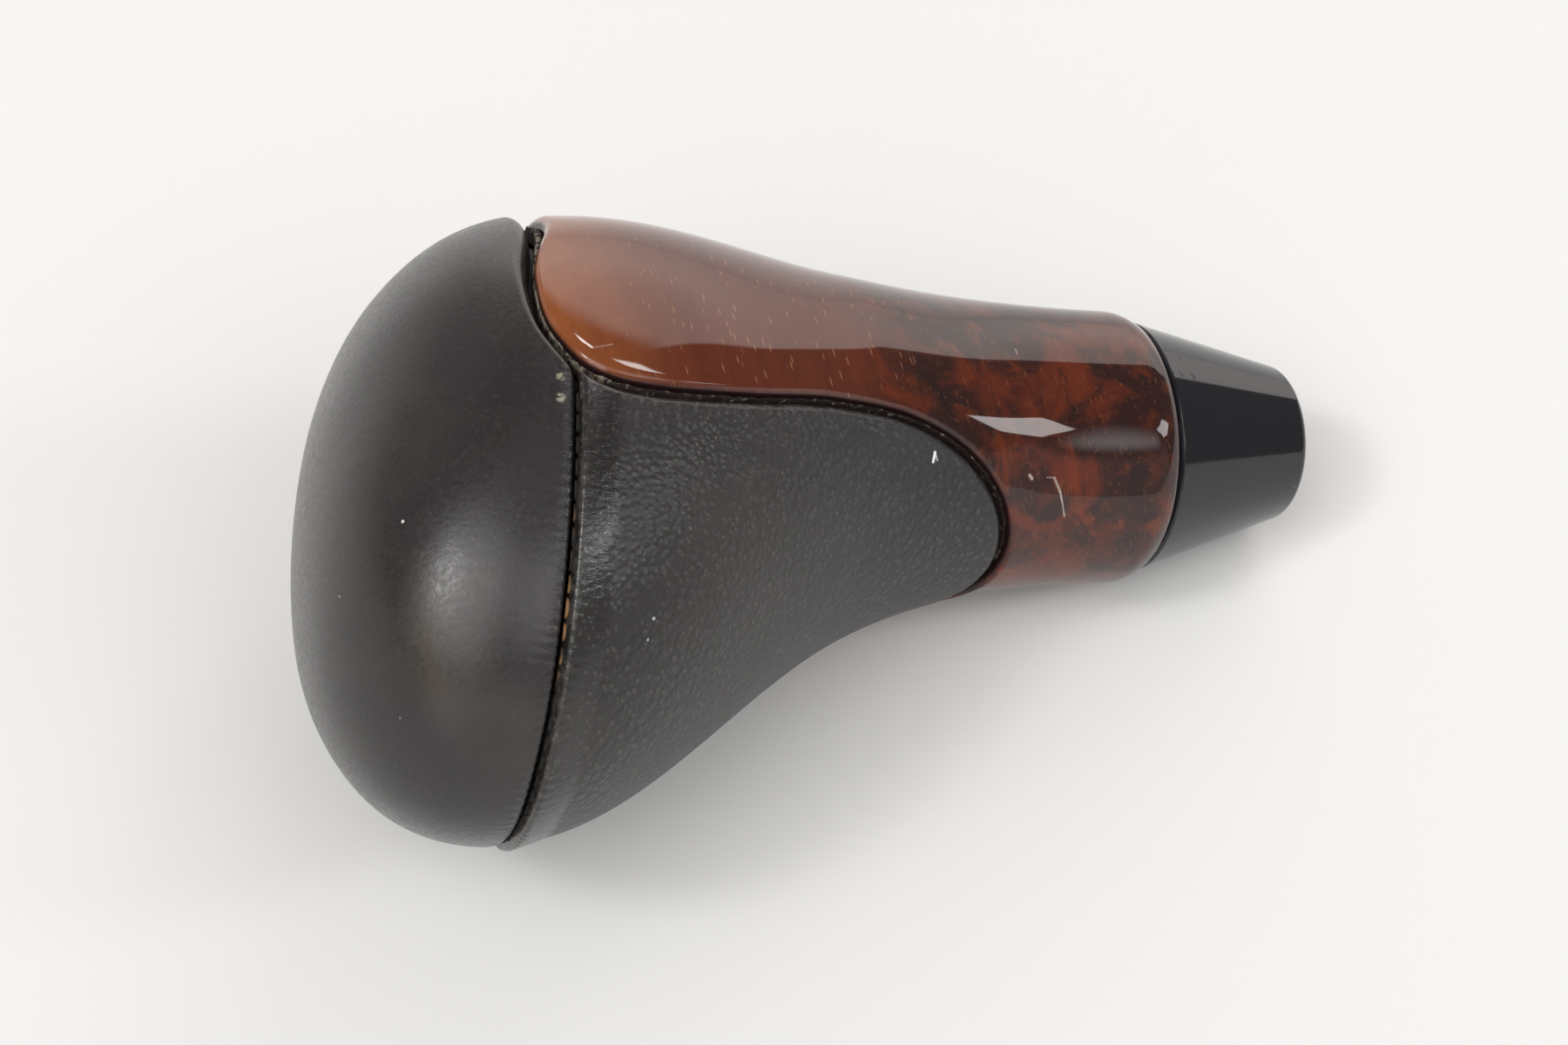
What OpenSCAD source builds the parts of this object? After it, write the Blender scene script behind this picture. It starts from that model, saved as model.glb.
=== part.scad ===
// Gear shift knob: leather head, lacquered wood trim and a quarter-turn lock sleeve.
// Upright: +Z runs up the lever, +X is the wood side, the origin is on the lever bore's axis.
// Heights are measured from the sleeve's open end, and angles from the front round to the back.

/* [Head] */
// Length from the sleeve's end to the top of the head
total_h = 105; // [101:0.5:110]
// Head's reach to the front of the lever axis
head_front = 22.9; // [21:0.1:26]
// Head's reach to the back of the lever axis
head_back = 39.2; // [36:0.1:42]
// Half of the head's width
head_side = 26.6; // [25:0.1:29]
// Height of the widest place at the front
head_front_h = 81.6; // [78:0.1:84]
// Height of the widest place at the back
head_back_h = 89.7; // [85:0.1:92]
// Height of the widest place at the sides
head_side_h = 76; // [72:0.5:80]
// How far the crown lies behind the lever axis
crown_back = 19.8; // [14:0.1:22]
// Roundness of the dome at the front, 2 is an ellipse
dome_front = 1.9; // [1.8:0.05:2.3]
// Roundness of the dome at the back and sides
dome_back = 2.2; // [2:0.05:2.5]

/* [Neck] */
// Height where the neck opens into the head
flare_h = 50.6; // [48:0.1:54]
// Reach to the front at that height
flare_front = 16.6; // [15:0.1:18]
// Reach to the back at that height
flare_back = 18.1; // [16.5:0.1:20]
// Half width at that height
flare_side = 19.3; // [17.5:0.1:21]
// Height of the slimmest place of the neck
neck_h = 35.2; // [33:0.1:38]
// Reach to the front at the neck
neck_front = 15.4; // [14.6:0.1:16.5]
// Reach to the back at the neck
neck_back = 14.2; // [13.9:0.1:15.5]
// Half width at the neck
neck_side = 14.8; // [14.2:0.1:16]
// Diameter of the wood collar
collar_d = 27.5; // [26.8:0.1:28.4]
// Diameter of the collar's end face
collar_end_d = 25.8; // [25.2:0.1:26.4]
// Height of the collar's end face
collar_h = 17.4; // [16.6:0.1:18.6]
// Height of the collar's rounded edge
collar_round = 2.5; // [1.5:0.1:3.5]

/* [Wood trim] */
// Thickness of the wood
wood_t = 2.5; // [2.2:0.1:2.8]
// Glue line between the core and what covers it
glue_line = 0.3; // [0.2:0.05:0.5]
// Height of the wood edge at the middle of the back
tongue_tip_h = 35; // [32:0.1:37]
// How far the wood's top edge stands above the seam, which it runs beside
wood_rise = 3.2; // [2:0.1:4]
// Depth of the rounding along the wood's edge
wood_edge_drop = 1.1; // [0.6:0.1:1.6]
// Width of the rounding along the wood's edge
wood_edge_round = 1.6; // [1:0.1:2.2]

/* [Leather] */
// Thickness of the leather
leather_t = 1.2; // [0.9:0.05:1.3]
// Height of the seam on the lever axis
seam_h = 81.6; // [79:0.1:83]
// Rise of the seam towards the back, in degrees
seam_tilt = 10.4; // [7:0.1:12]
// Gap between the two leathers at the seam
seam_gap = 0.3; // [0.2:0.05:0.6]
// Gap between the leather and the wood
groove_w = 1; // [0.7:0.05:1.4]
// Depth of the leather's rolled edge
leather_roll = 0.8; // [0.5:0.05:0.9]
// Width of the leather's rolled edge
leather_roll_w = 1.3; // [0.9:0.1:1.8]
// How far the padding stops short of the leather's edge
padding_margin = 1.5; // [1:0.1:2.5]

/* [Lock sleeve] */
// Diameter of the sleeve's open end
sleeve_end_d = 16.1; // [15.6:0.1:17]
// Diameter of the sleeve's top
sleeve_top_d = 25.3; // [24.6:0.1:25.4]
// Rounding of the open end
sleeve_round = 1.1; // [0.6:0.1:1.4]
// Chamfer beside the wood
sleeve_chamfer = 0.35; // [0.2:0.05:0.6]
// Gap between the sleeve and the wood
sleeve_gap = 0.3; // [0.25:0.05:0.5]
// Thickness of the lip that locks under the lever's ears
lip_t = 1.6; // [1.2:0.1:2]
// Clearance of the lip's hole round the lever
lip_clear = 0.4; // [0.3:0.05:0.6]
// Width of the two ear slots in the lip
ear_slot_w = 4; // [3:0.1:5]
// Depth of each ear slot
ear_slot_d = 1.1; // [0.8:0.1:1.2]
// Height of the sleeve's inner shoulder
shoulder_h = 12.3; // [11.8:0.1:12.6]
// Diameter of the room above the shoulder
room_d = 20.4; // [20:0.1:20.8]
// Turn between open and locked, in degrees
lock_turn = 90; // [60:5:90]
// Width of the stop lug, in degrees
stop_lug_a = 24; // [16:1:36]
// Play of the stop lug at each end, in degrees
stop_play = 2; // [1.5:0.5:4]

/* [Lever insert] */
// Diameter of the lever bore
bore_d = 10; // [9.5:0.1:10.4]
// Length of the lever bore
bore_l = 45; // [40:0.5:46]
// Depth of the bore's mouth inside the sleeve's end
mouth_depth = 4.4; // [3.8:0.1:5]
// Chamfer of the bore's mouth
mouth_chamfer = 0.6; // [0.3:0.1:0.9]
// Outer diameter of the stem that the sleeve turns on
stem_d = 13.2; // [12.8:0.1:13.4]
// Radial clearance of the sleeve on the stem
stem_clear = 0.05; // [0.02:0.01:0.1]
// Diameter of the flange under the core
flange_d = 19.6; // [19.2:0.1:19.8]
// Thickness of the flange
flange_t = 2.8; // [2.4:0.1:3]
// Depth of the flange's stop notch
notch_d = 1.1; // [0.9:0.05:1.4]
// Diameter of the part held in the core
shank_d = 15; // [14:0.1:15.6]
// Wall above the bore's blind end
blind_t = 3; // [2.5:0.1:5]
// Width of the three grip grooves
grip_w = 4; // [2:0.5:5]
// Depth of the grip grooves
grip_deep = 0.9; // [0.5:0.1:1]
// Wire of the snap ring
ring_wire = 1; // [0.8:0.1:1.2]
// Height of the snap ring
ring_h = 8.4; // [8:0.1:10]
// Opening between the snap ring's ends, in degrees
ring_open_a = 24; // [16:2:40]
// Sheet of the wave washer
washer_t = 0.5; // [0.3:0.1:0.6]

/* [Hidden] */
$fn = 96;
// Facets of a small round section
small_fn = 24;
// Clearance between the insert and the core
layer_gap = 0.05;
// Clearance between a leather and its padding
padding_gap = 0.2;
// Clearance round the snap ring, and at both faces of the wave washer
spring_gap = 0.08;
// Clearance of the stop lug to the notch, along the axis and across it
lug_gap = 0.4;
lug_side_gap = 0.25;
// How far the lug reaches into the sleeve's wall
lug_root = 0.3;
// Overlap of a cutting shape
cut = 0.1;
// The frame's origin lies this far inside the bore's mouth
datum_depth = 2;
core_inset = wood_t + glue_line;
collar_full_h = collar_h + collar_round;
// Above this height an inner layer is squeezed below the crown
squeeze_h = head_side_h - 4;
insert_top_h = mouth_depth + bore_l + blind_t;
flange_low_h = collar_h - flange_t;
lug_low_h = flange_low_h + lug_gap;
// Slope where the collar runs into the neck, as a share of the even slope
neck_start = 0.6;

// The wood edge: angle from the front, and share of the height from the tongue's tip to the line above the seam
edge_path = [
    [0, 1], [32, 1], [60, 1], [80, 1], [91.6, 0.96], [99.8, 0.891], [106.6, 0.756],
    [111.4, 0.59], [114.7, 0.41], [121.6, 0.24], [134, 0.108], [154.3, 0.027], [180, 0]
];
// Samples between two points of the edge
edge_steps = 3;
edge_count = len(edge_path);

function mix(a, b, t) = a + (b - a) * t;
function hermite(a, b, ma, mb, h, u) =
    (2 * u^3 - 3 * u^2 + 1) * a + (u^3 - 2 * u^2 + u) * h * ma
    + (3 * u^2 - 2 * u^3) * b + (u^3 - u^2) * h * mb;

// One side of the outline: a smooth line through four heights, then a dome up to the crown
function slope(h, w, i) =
    i == 0 ? neck_start * (w[1] - w[0]) / (h[1] - h[0])
    : i == 3 ? 0
    : (w[i + 1] - w[i - 1]) / (h[i + 1] - h[i - 1]);
function span(z, h) = z < h[1] ? 0 : z < h[2] ? 1 : 2;
function rise(z, h, w, i) =
    let (tall = h[i + 1] - h[i])
    hermite(w[i], w[i + 1], slope(h, w, i), slope(h, w, i + 1), tall, (z - h[i]) / tall);
function dome(z, low, high, wide, crown, p) =
    crown + (wide - crown) * (max(0, 1 - min(1, (z - low) / (high - low))^p))^(1 / p);
function shoulder(z) =
    (collar_d - (collar_d - collar_end_d) * (min(1, (collar_full_h - z) / collar_round))^2) / 2;
function outline(z, h, w, crown, p, d) =
    z <= h[0] ? shoulder(z) - d
    : z <= h[3] ? rise(z, h, w, span(z, h)) - d
    : dome(z, h[3], total_h - d, w[3] - d, crown, p);
function heights(wide_h) = [collar_full_h, neck_h, flare_h, wide_h];
front_widths = [collar_d / 2, neck_front, flare_front, head_front];
back_widths = [collar_d / 2, neck_back, flare_back, head_back];
side_widths = [collar_d / 2, neck_side, flare_side, head_side];
function front_at(z, d) = outline(z, heights(head_front_h), front_widths, -crown_back, dome_front, d);
function back_at(z, d) = outline(z, heights(head_back_h), back_widths, crown_back, dome_back, d);
function side_at(z, d) = outline(z, heights(head_side_h), side_widths, 0, dome_back, d);
function squeeze(z, d) =
    z <= squeeze_h ? z : squeeze_h + (z - squeeze_h) * (total_h - d - squeeze_h) / (total_h - squeeze_h);
function skin_at(a, z, f, b, s) = [(f - b) / 2 + (f + b) / 2 * cos(a), -s * sin(a), z];
function skin(a, z, d) =
    let (q = squeeze(z, d))
    skin_at(a, q, front_at(q, d), back_at(q, d), side_at(q, d));

// The seam lies in a plane that rises towards the back
function seam_step(a, z) = seam_h - tan(seam_tilt) * skin(a, z, 0)[0];
function seam_at(a) = seam_step(a, seam_step(a, seam_step(a, seam_h)));

// The wood edge as a smooth line through its points, mirrored at both ends
function mirrored(p, middle) = [2 * middle - p[0], p[1]];
function edge_point(i) =
    i < 0 ? mirrored(edge_path[-i], 0)
    : i >= edge_count ? mirrored(edge_path[2 * edge_count - 2 - i], 180)
    : edge_path[i];
function glide(a, b, c, d, t) =
    0.5 * (2 * b + (c - a) * t + (2 * a - 5 * b + 4 * c - d) * t^2 + (3 * b - a - 3 * c + d) * t^3);
function edge_raw(i, t) = glide(edge_point(i - 1), edge_point(i), edge_point(i + 1), edge_point(i + 2), t);
function edge_place(e) = [e[0], mix(tongue_tip_h, seam_at(e[0]) + wood_rise, e[1])];
wood_edge = [
    for (i = [0:edge_count - 2], k = [0:edge_steps - 1]) edge_place(edge_raw(i, k / edge_steps)),
    edge_place(edge_path[edge_count - 1])
];
last = len(wood_edge) - 1;

// The leather's edge runs beside the wood's edge at the groove's width
least_radius = 5;
function across(e) = skin(e[0], e[1], 0) - skin(e[0] + 180, e[1], 0);
function edge_radius(e) = max(least_radius, norm([across(e)[0], across(e)[1]]) / 2);
function mm_per_turned_degree(i) = edge_radius(wood_edge[i]) * PI / 180;
function edge_way(i) =
    let (p = wood_edge[max(i - 1, 0)], q = wood_edge[min(i + 1, last)])
    [(q[0] - p[0]) * mm_per_turned_degree(i), q[1] - p[1]];
function beside(i, w) =
    let (v = edge_way(i))
    wood_edge[i] + w / norm(v) * [-v[1] / mm_per_turned_degree(i), v[0]];
function edge_beside(w) = [
    for (i = [0:last]) i == 0 || i == last ? wood_edge[i] + [0, w] : beside(i, w)
];

// Solids from a grid of points: rows run along the section, columns run round the knob
function flat_list(m) = [for (row = m) each row];
function quad(a, b, c, d) = [[a, b, c], [a, c, d]];
function grid_faces(rows, cols, wrap_rows, wrap_cols) = [
    for (i = [0:rows - (wrap_rows ? 1 : 2)], j = [0:cols - (wrap_cols ? 1 : 2)])
        let (n = (i + 1) % rows, m = (j + 1) % cols)
        each quad(i * cols + j, n * cols + j, n * cols + m, i * cols + m)
];

// A ring whose section is a closed loop
module ring_solid(m) {
    polyhedron(points = flat_list(m), faces = grid_faces(len(m), len(m[0]), true, true), convexity = 6);
}

// A shell of rows that closes on one point at each end
module domed_solid(m, first, final) {
    rows = len(m);
    cols = len(m[0]);
    a = rows * cols;
    foot = (rows - 1) * cols;
    start_fan = [for (j = [0:cols - 1]) [a, j, (j + 1) % cols]];
    end_fan = [for (j = [0:cols - 1]) [a + 1, foot + (j + 1) % cols, foot + j]];
    faces = concat(grid_faces(rows, cols, false, true), start_fan, end_fan);
    polyhedron(points = concat(flat_list(m), [first, final]), faces = faces, convexity = 6);
}

// A panel whose section is a closed loop of outer and inner rows, with two closed ends
module panel_solid(m) {
    rows = len(m);
    cols = len(m[0]);
    steps = [0:rows / 2 - 2];
    e = cols - 1;
    function corner(row, col) = row * cols + col;
    near = [
        for (k = steps)
            each quad(corner(rows - 1 - k, 0), corner(rows - 2 - k, 0), corner(k + 1, 0), corner(k, 0))
    ];
    far = [
        for (k = steps)
            each quad(corner(k, e), corner(k + 1, e), corner(rows - 2 - k, e), corner(rows - 1 - k, e))
    ];
    faces = concat(grid_faces(rows, cols, true, false), near, far);
    polyhedron(points = flat_list(m), faces = faces, convexity = 6);
}

// A leather edge's rolled section: distance from the edge and depth, each as a share of the roll
edge_roll = [[0, 1], [0.25, 0.35], [0.7, 0.06]];
// Millimetres along the head for a degree round it
mm_per_degree = 0.4;

// Cap: leather from the wood's top edge and the seam up to the crown
cap_cols = 60;
cap_rows = 8;
// Past this angle the seam alone is the cap's edge
cap_corner_a = 100;
// Shares of the way to the crown where the rows start behind a rolled edge, and where they end
cap_rows_from = 0.09;
cap_rows_to = 0.94;
function folded(a) = abs(a > 180 ? a - 360 : a);
function cap_low(a, w, s) =
    let (b = folded(a))
    max(seam_at(b) + s, b < cap_corner_a ? lookup(b, edge_beside(w)) : 0);
function cap_edge(margin) = [
    for (j = [0:cap_cols - 1]) cap_low(j * 360 / cap_cols, groove_w + margin, seam_gap / 2 + margin)
];
function cap_row(low, t, d) = [
    for (j = [0:cap_cols - 1]) skin(j * 360 / cap_cols, low[j] + (total_h - low[j]) * sin(90 * t), d)
];
function cap_roll(low, outer, roll) = [
    for (r = edge_roll) cap_row([for (z = low) z + r[0] * leather_roll_w], 0, outer + r[1] * roll)
];

module cap_shell(low, outer, inner, roll) {
    start = roll > 0 ? cap_rows_from : 0;
    steps = [for (i = [0:cap_rows - 1]) mix(start, cap_rows_to, i / (cap_rows - 1))];
    outside = concat(roll > 0 ? cap_roll(low, outer, roll) : [], [for (t = steps) cap_row(low, t, outer)]);
    inside = concat(roll > 0 ? [cap_row(low, 0, inner)] : [], [for (t = steps) cap_row(low, t, inner)]);
    rows = concat([for (i = [len(outside) - 1:-1:0]) outside[i]], inside);
    domed_solid(rows, [-crown_back, 0, total_h - outer], [-crown_back, 0, total_h - inner]);
}

// Back: leather from the seam down to the tongue at the neck
back_rows = 8;
// The panel starts at the first sample of the edge past this angle
back_start_a = 99;
back_start = search(1, [for (i = [0:last]) wood_edge[i][0] > back_start_a ? 1 : 0])[0];
function back_half(w) = let (e = edge_beside(w)) [for (i = [back_start:last]) e[i]];
function back_edge(w) =
    let (h = back_half(w))
    concat(h, [for (i = [len(h) - 2:-1:0]) mirrored(h[i], 180)]);
function back_seam(w, s) =
    let (e = back_edge(w), n = len(e) - 1, a0 = e[0][0])
    [for (j = [0:n]) let (a = mix(a0, 360 - a0, j / n)) [a, max(seam_at(a) - s, e[j][1] + leather_roll_w)]];
// A row's place is a share of the way up plus a number of rolled edges
roll_share = 0.3;
function back_length(p, q) = norm([p[1] - q[1], mm_per_degree * (p[0] - q[0])]);
function back_share(p, q, place) =
    place[0] + place[1] * min(roll_share, leather_roll_w / back_length(p, q));
function back_point(p, q, u, d) = skin(mix(p[0], q[0], u), mix(p[1], q[1], u), d);
function back_row(low, high, place, d) = [
    for (j = [0:len(low) - 1]) back_point(low[j], high[j], back_share(low[j], high[j], place), d)
];

module back_shell(low, high, outer, inner, roll) {
    steps = [for (i = [0:back_rows - 1]) let (t = i / (back_rows - 1)) [t, 1 - 2 * t]];
    rolled = roll > 0 ? edge_roll : [[0, 1]];
    top_down = [for (i = [len(rolled) - 1:-1:0]) rolled[i]];
    outside = concat(
        [for (r = rolled) back_row(low, high, [0, r[0]], outer + r[1] * roll)],
        [for (t = steps) back_row(low, high, t, outer)],
        [for (r = top_down) back_row(low, high, [1, -r[0]], outer + r[1] * roll)]);
    inside = concat(
        [for (r = rolled) back_row(low, high, [0, r[0]], inner)],
        [for (t = steps) back_row(low, high, t, inner)],
        [for (r = top_down) back_row(low, high, [1, -r[0]], inner)]);
    panel_solid(concat(outside, [for (i = [len(inside) - 1:-1:0]) inside[i]]));
}

// Wood: a full collar with a tongue that climbs the front, its columns fan out from the collar
wood_cols = 2 * last;
wood_rows = 10;
// Share of the way where the face ends before the rounded edge
wood_face_end = 0.92;
// How late the columns fan out
fan_power = 1.3;
// The rounded edge: distance from the edge and depth, each as a share of the rounding
wood_roll = [[0.95, 0.02], [0.5, 0.16], [0.18, 0.5], [0, 1]];
function wood_column(j) = j <= last ? wood_edge[j] : mirrored(wood_edge[wood_cols - j], 180);
function wood_row(t, drop, d) = [
    for (j = [0:wood_cols - 1])
        let (e = wood_column(j), u = max(0, t - drop / (e[1] - collar_h)))
        skin(mix(j * 360 / wood_cols, e[0], u^fan_power), mix(collar_h, e[1], u), d)
];

module lower_to_datum() {
    translate([0, 0, -mouth_depth - datum_depth]) children();
}

module cap_leather() {
    color([0.09, 0.09, 0.1])
        lower_to_datum()
            cap_shell(cap_edge(0), 0, leather_t, leather_roll);
}

module cap_padding() {
    color([0.75, 0.72, 0.6])
        lower_to_datum()
            cap_shell(cap_edge(padding_margin), leather_t + padding_gap, wood_t, 0);
}

module back_leather() {
    color([0.12, 0.12, 0.13])
        lower_to_datum()
            back_shell(back_edge(groove_w), back_seam(groove_w, seam_gap / 2), 0, leather_t, leather_roll);
}

module back_padding() {
    w = groove_w + padding_margin;
    seam = back_seam(w, seam_gap / 2 + padding_margin);
    color([0.75, 0.72, 0.6])
        lower_to_datum()
            back_shell(back_edge(w), seam, leather_t + padding_gap, wood_t, 0);
}

module wood_trim() {
    face = [for (i = [0:wood_rows]) wood_row(wood_face_end * i / wood_rows, 0, 0)];
    edge = [for (r = wood_roll) wood_row(1, r[0] * wood_edge_round, r[1] * wood_edge_drop)];
    inside = [for (i = [wood_rows:-1:0]) wood_row(i / wood_rows, 0, wood_t)];
    color([0.45, 0.16, 0.07])
        lower_to_datum()
            ring_solid(concat(face, edge, inside));
}

// Core: one moulding with the insert's outline left open in its neck
core_cols = 48;
core_rows = 10;
crown_rows = 6;
// Turn of the dome that the last crown row reaches, in degrees
crown_reach_a = 84;
function core_row(z) = [for (j = [0:core_cols - 1]) skin(j * 360 / core_cols, z, core_inset)];
function hole_row(r, z) = [
    for (j = [0:core_cols - 1]) let (a = j * 360 / core_cols) [r * cos(a), -r * sin(a), z]
];
grip_start_h = mouth_depth + bore_l * 0.42;
grip_pitch = bore_l * 0.18;
shank_r = shank_d / 2;
grip_r = shank_r - grip_deep;
grip_shape = [[shank_r, 0], [grip_r, 0], [grip_r, grip_w], [shank_r, grip_w]];
hole_path = concat(
    [[shank_r, collar_h]],
    [for (k = [0:2], p = grip_shape) p + [0, grip_start_h + k * grip_pitch]],
    [[shank_r, insert_top_h]]);
// The hole's end rows stand clear of the insert
function hole_h(z) = z == collar_h || z == insert_top_h ? z + layer_gap : z;

module head_core() {
    low_h = collar_h + layer_gap;
    side = [for (i = [core_rows - 1:-1:0]) core_row(mix(low_h, squeeze_h, i / (core_rows - 1)))];
    crown = [for (i = [crown_rows:-1:1]) core_row(mix(squeeze_h, total_h, sin(crown_reach_a * i / crown_rows)))];
    hole = [for (p = hole_path) hole_row(p[0] / cos(180 / core_cols) + layer_gap, hole_h(p[1]))];
    top = [-crown_back, 0, total_h - core_inset];
    color([0.2, 0.2, 0.21])
        lower_to_datum()
            domed_solid(concat(crown, side, hole), top, [0, 0, insert_top_h + layer_gap]);
}

// Insert: turned steel with the lever bore, the flange and a groove for the snap ring
ring_groove = ring_wire / 2 + spring_gap;
stem_chamfer = 0.4;
// Height of the cone at the bore's blind end
drill_tip = 1;
// Wall left above the stop notch
notch_roof = 0.6;
stop_a = stop_lug_a / 2 + stop_play;

module insert_outline() {
    bore_r = bore_d / 2;
    stem_r = stem_d / 2;
    mouth = [
        [bore_r, mouth_depth + mouth_chamfer], [bore_r + mouth_chamfer, mouth_depth],
        [stem_r - stem_chamfer, mouth_depth], [stem_r, mouth_depth + stem_chamfer]
    ];
    flange = [[stem_r, flange_low_h], [flange_d / 2, flange_low_h], [flange_d / 2, collar_h]];
    blind_end = [[0, insert_top_h], [0, mouth_depth + bore_l + drill_tip], [bore_r, mouth_depth + bore_l]];
    difference() {
        polygon(concat(mouth, flange, hole_path, blind_end));
        translate([stem_r, ring_h]) circle(r = ring_groove, $fn = small_fn);
    }
}

module sector(r, from, to, h) {
    rotate([0, 0, from]) rotate_extrude(angle = to - from) square([r, h]);
}

module lever_insert() {
    color([0.7, 0.7, 0.72])
        lower_to_datum()
            difference() {
                rotate_extrude() insert_outline();
                difference() {
                    translate([0, 0, flange_low_h - cut])
                        sector(flange_d, -stop_a, lock_turn + stop_a, flange_t - notch_roof + cut);
                    cylinder(r = flange_d / 2 - notch_d, h = collar_h);
                }
            }
}

// Sleeve: a tapered sleeve that turns on the stem, with a lip that locks under the lever's ears
lip_edge = 0.2;

module sleeve_outline() {
    top_h = collar_h - sleeve_gap;
    end_r = sleeve_end_d / 2;
    top_r = sleeve_top_d / 2;
    lip_r = bore_d / 2 + lip_clear;
    stem_r = stem_d / 2 + stem_clear;
    difference() {
        hull() {
            translate([lip_r + lip_edge, 0]) square([end_r - sleeve_round - lip_r - lip_edge, cut]);
            translate([end_r - sleeve_round, sleeve_round]) circle(r = sleeve_round, $fn = 2 * small_fn);
            translate([lip_r, lip_edge]) square([cut, top_h - lip_edge]);
            translate([lip_r, top_h - cut]) square([top_r - sleeve_chamfer - lip_r, cut]);
            translate([lip_r, top_h - sleeve_chamfer - cut]) square([top_r - lip_r, cut]);
        }
        translate([-1, lip_t]) square([stem_r + 1, top_h]);
        translate([-1, shoulder_h]) square([room_d / 2 + 1, top_h]);
        translate([stem_r, ring_h]) circle(r = ring_groove, $fn = small_fn);
    }
}

module stop_lug() {
    lug_h = flange_t - notch_roof - 2 * lug_gap;
    difference() {
        translate([0, 0, lug_low_h])
            sector(room_d / 2 + lug_root, -stop_lug_a / 2, stop_lug_a / 2, lug_h);
        translate([0, 0, lug_low_h - cut])
            cylinder(r = flange_d / 2 - notch_d + lug_side_gap, h = lug_h + 2 * cut);
    }
}

module lock_sleeve() {
    slot_r = bore_d / 2 + lip_clear + ear_slot_d;
    color([0.03, 0.03, 0.035])
        lower_to_datum()
            difference() {
                union() {
                    rotate_extrude() sleeve_outline();
                    stop_lug();
                }
                translate([-slot_r, -ear_slot_w / 2, -1]) cube([2 * slot_r, ear_slot_w, lip_t + 1]);
            }
}

module snap_ring() {
    color([0.6, 0.6, 0.62])
        lower_to_datum()
            translate([0, 0, ring_h])
                rotate([0, 0, ring_open_a / 2])
                    rotate_extrude(angle = 360 - ring_open_a)
                        translate([stem_d / 2, 0]) circle(r = ring_wire / 2, $fn = small_fn);
}

// Washer: a waved spring ring between the sleeve's shoulder and the flange
washer_cols = 48;
washer_waves = 3;
washer_in = stem_d / 2 + 0.4;
washer_out = flange_d / 2 - 0.6;
washer_room = flange_low_h - shoulder_h - 2 * spring_gap;
washer_low = (shoulder_h + flange_low_h - washer_t) / 2;
washer_rise = (washer_room - washer_t) / 2;
function washer_row(r, z) = [
    for (j = [0:washer_cols - 1])
        let (a = j * 360 / washer_cols)
        [r * cos(a), -r * sin(a), z + washer_rise * cos(washer_waves * a)]
];

module wave_washer() {
    high = washer_low + washer_t;
    section = [[washer_out, washer_low], [washer_out, high], [washer_in, high], [washer_in, washer_low]];
    color([0.6, 0.6, 0.62])
        lower_to_datum()
            ring_solid([for (p = section) washer_row(p[0], p[1])]);
}

cap_leather();
back_leather();
cap_padding();
back_padding();
wood_trim();
head_core();
lever_insert();
lock_sleeve();
snap_ring();
wave_washer();
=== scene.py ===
import math
import bpy
import numpy as np
from mathutils import Matrix, Vector


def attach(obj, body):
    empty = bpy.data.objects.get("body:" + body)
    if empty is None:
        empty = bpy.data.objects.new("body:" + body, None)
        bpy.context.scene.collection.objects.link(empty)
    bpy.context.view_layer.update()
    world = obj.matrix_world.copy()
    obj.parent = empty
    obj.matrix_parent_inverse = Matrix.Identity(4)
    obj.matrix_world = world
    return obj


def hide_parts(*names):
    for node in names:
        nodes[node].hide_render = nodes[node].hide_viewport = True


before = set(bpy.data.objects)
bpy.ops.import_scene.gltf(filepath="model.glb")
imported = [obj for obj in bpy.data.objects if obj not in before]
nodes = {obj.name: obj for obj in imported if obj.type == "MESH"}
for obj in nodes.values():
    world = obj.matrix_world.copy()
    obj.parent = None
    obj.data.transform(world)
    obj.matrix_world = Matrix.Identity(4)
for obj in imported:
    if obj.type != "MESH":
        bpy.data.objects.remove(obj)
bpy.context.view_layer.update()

# Sizes in millimetres, as in the part's source, with heights from the sleeve's open end
MM = 0.001
DATUM = 6.4
TOTAL = 105.0
CROWN_BACK = 19.8
COLLAR_D, COLLAR_END_D, COLLAR_H, COLLAR_ROUND = 27.5, 25.8, 17.4, 2.5
HEAD = {"front": (81.6, 22.9), "back": (89.7, 39.2), "side": (76.0, 26.6)}
FLARE_H, FLARE = 50.6, {"front": 16.6, "back": 18.1, "side": 19.3}
NECK_H, NECK = 35.2, {"front": 15.4, "back": 14.2, "side": 14.8}
DOME = {"front": 1.9, "back": 2.2, "side": 2.2}
SQUEEZE_H = 72.0
HEAD_MIDDLE_X = -6.0
WOOD_T = 2.5
LEATHER_T = 1.0
SEAM_H, SEAM_TILT, SEAM_GAP = 81.6, 10.4, 0.3
GROOVE_W = 0.65
# The wood's edge falls by FRONT_DIP over the front of the head, and its corner is rounder there. The corner
# changes between the two angles of CORNER_TURN, in degrees from the front
TONGUE_TIP_H, WOOD_RISE, FRONT_DIP = 35.0, 3.2, 1.65
CORNER_TURN = (52, 74)
EDGE_PATH = [(0, 1), (32, 1), (60, 1), (80, 1), (91.6, 0.96), (99.8, 0.891), (106.6, 0.756),
             (111.4, 0.59), (114.7, 0.41), (121.6, 0.24), (134, 0.108), (154.3, 0.027), (180, 0)]
STITCH_PITCH, PUCKER_PITCH = 2.1, 1.05
STITCHED_ANGLES = (101.0, 259.0)
THREAD_SUNK = 0.55

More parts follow.
